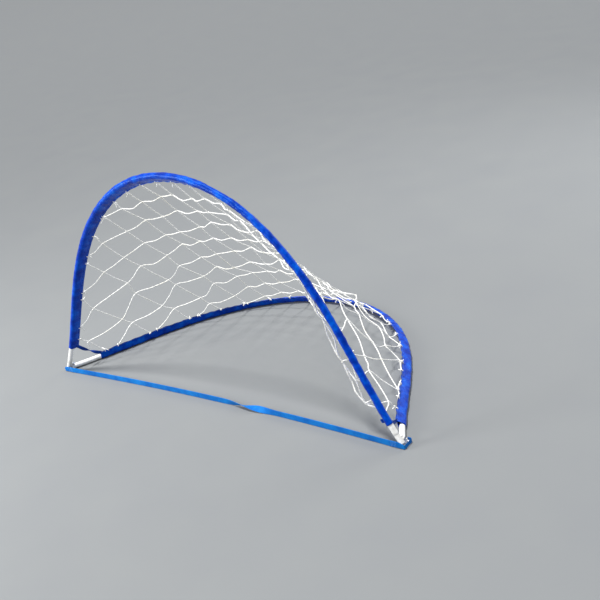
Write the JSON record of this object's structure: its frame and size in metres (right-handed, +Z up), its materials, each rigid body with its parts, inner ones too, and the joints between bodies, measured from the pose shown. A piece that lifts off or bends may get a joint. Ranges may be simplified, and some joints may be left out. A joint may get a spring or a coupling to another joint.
{
  "type": "pop up goal",
  "caption": "Folding garden goal: two hinged tube hoops in fabric sleeves, the front one standing as the mouth, with a knotted cord net between them and a webbing strap along the goal line.",
  "frame": {"origin": "middle of the goal line at ground level, on the underside of the base strap", "axes": "+X along the goal line to the right corner, +Y towards the back hoop, +Z up; the mouth faces -Y"},
  "size_m": [1.815, 0.9436, 0.9454],
  "materials": {
    "white_tube": "smooth white extruded plastic",
    "white_moulding": "satin white moulded plastic",
    "grey_ferrule": "satin grey extruded plastic",
    "black_elastic": "braided cover over rubber strands",
    "blue_nylon": "plain-woven royal blue nylon with a slight sheen",
    "blue_hem": "folded woven tape",
    "blue_webbing": "ribbed polypropylene webbing",
    "net_cord": "off-white knotted twine",
    "zinc_steel": "bright zinc plating"
  },
  "bodies": {
    "back_frame": {"back_tube_1": "white_tube", "back_tube_2": "white_tube", "back_tube_3": "white_tube", "back_tube_4": "white_tube", "back_ferrule_1": "grey_ferrule", "back_ferrule_2": "grey_ferrule", "back_ferrule_3": "grey_ferrule", "back_elastic_cord": "black_elastic", "back_sleeve": "blue_nylon", "back_hinge_left": "white_moulding", "back_hinge_right": "white_moulding", "hinge_pin_left": "zinc_steel", "hinge_pin_cap_left": "zinc_steel", "hem_tape_left": "blue_hem", "hinge_pin_right": "zinc_steel", "hinge_pin_cap_right": "zinc_steel", "hem_tape_right": "blue_hem", "base_strap": "blue_webbing", "net": "net_cord"},
    "front_frame": {"front_tube_1": "white_tube", "front_tube_2": "white_tube", "front_tube_3": "white_tube", "front_tube_4": "white_tube", "front_ferrule_1": "grey_ferrule", "front_ferrule_2": "grey_ferrule", "front_ferrule_3": "grey_ferrule", "front_elastic_cord": "black_elastic", "front_sleeve": "blue_nylon", "front_hinge_left": "white_moulding", "front_hinge_right": "white_moulding"}
  },
  "joints": [
    {"name": "hoop_fold", "type": "hinge", "parent": "back_frame", "child": "front_frame", "pos_m": [0, 0, 0.02725], "axis": [1, 0, 0], "range_deg": [-86.5, 0], "stiffness_Nm_per_rad": 2, "springref_deg": 40.11, "deforming": ["net", "hem_tape_left", "hem_tape_right"]}
  ]
}
